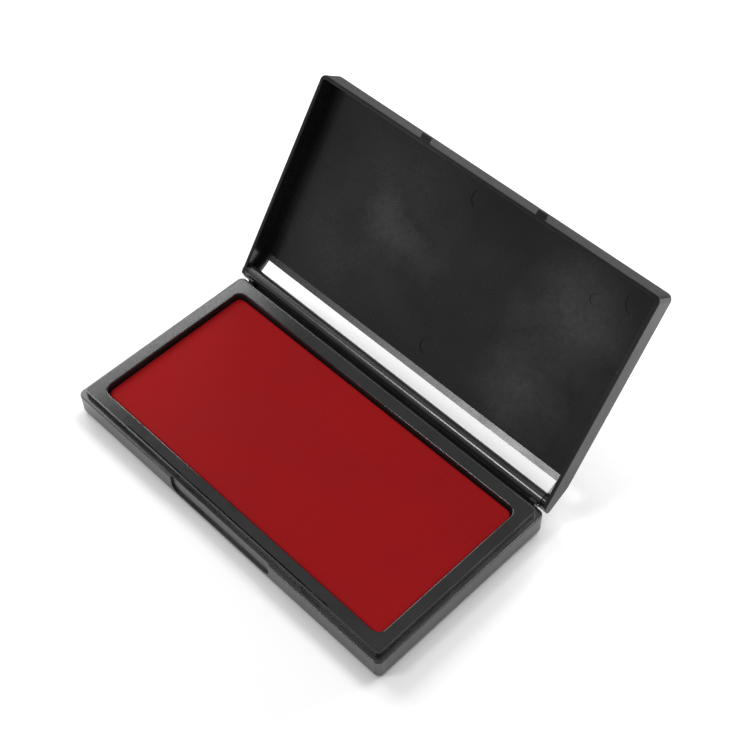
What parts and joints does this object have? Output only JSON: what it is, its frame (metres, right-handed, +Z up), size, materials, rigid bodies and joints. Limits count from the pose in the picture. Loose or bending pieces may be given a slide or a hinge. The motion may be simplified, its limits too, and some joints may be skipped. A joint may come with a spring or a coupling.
{
  "type": "ink pad",
  "caption": "Shallow rectangular case with a hinged lid that holds a rubber-stamp ink pad: a cloth-covered felt block set in a raised frame.",
  "frame": {"origin": "middle of the underside of the case, on the surface it stands on", "axes": "+X along the long side of the case, +Y from the front wall towards the hinge, +Z up; the lid is open at rest"},
  "size_m": [0.1588, 0.1383, 0.0854],
  "materials": {
    "case_plastic": "satin black moulded plastic",
    "frame_plastic": "satin black moulded plastic",
    "backing_board": "plain grey board",
    "felt": "dense felt soaked with red ink",
    "ink_cloth": "fine woven cover, damp with red ink",
    "lid_plastic": "satin black moulded plastic",
    "hinge_pin": "plain steel wire"
  },
  "bodies": {
    "base": {"base_case": "case_plastic", "pad_frame": "frame_plastic", "pad_backing": "backing_board", "felt_core": "felt", "ink_cloth": "ink_cloth"},
    "lid": {"lid_shell": "lid_plastic", "hinge_pin_left": "hinge_pin", "hinge_pin_right": "hinge_pin"}
  },
  "joints": [
    {"name": "lid_hinge", "type": "hinge", "parent": "base", "child": "lid", "pos_m": [0, 0.0437, 0.01243], "axis": [1, 0, 0], "range_deg": [0, 124.4]}
  ]
}
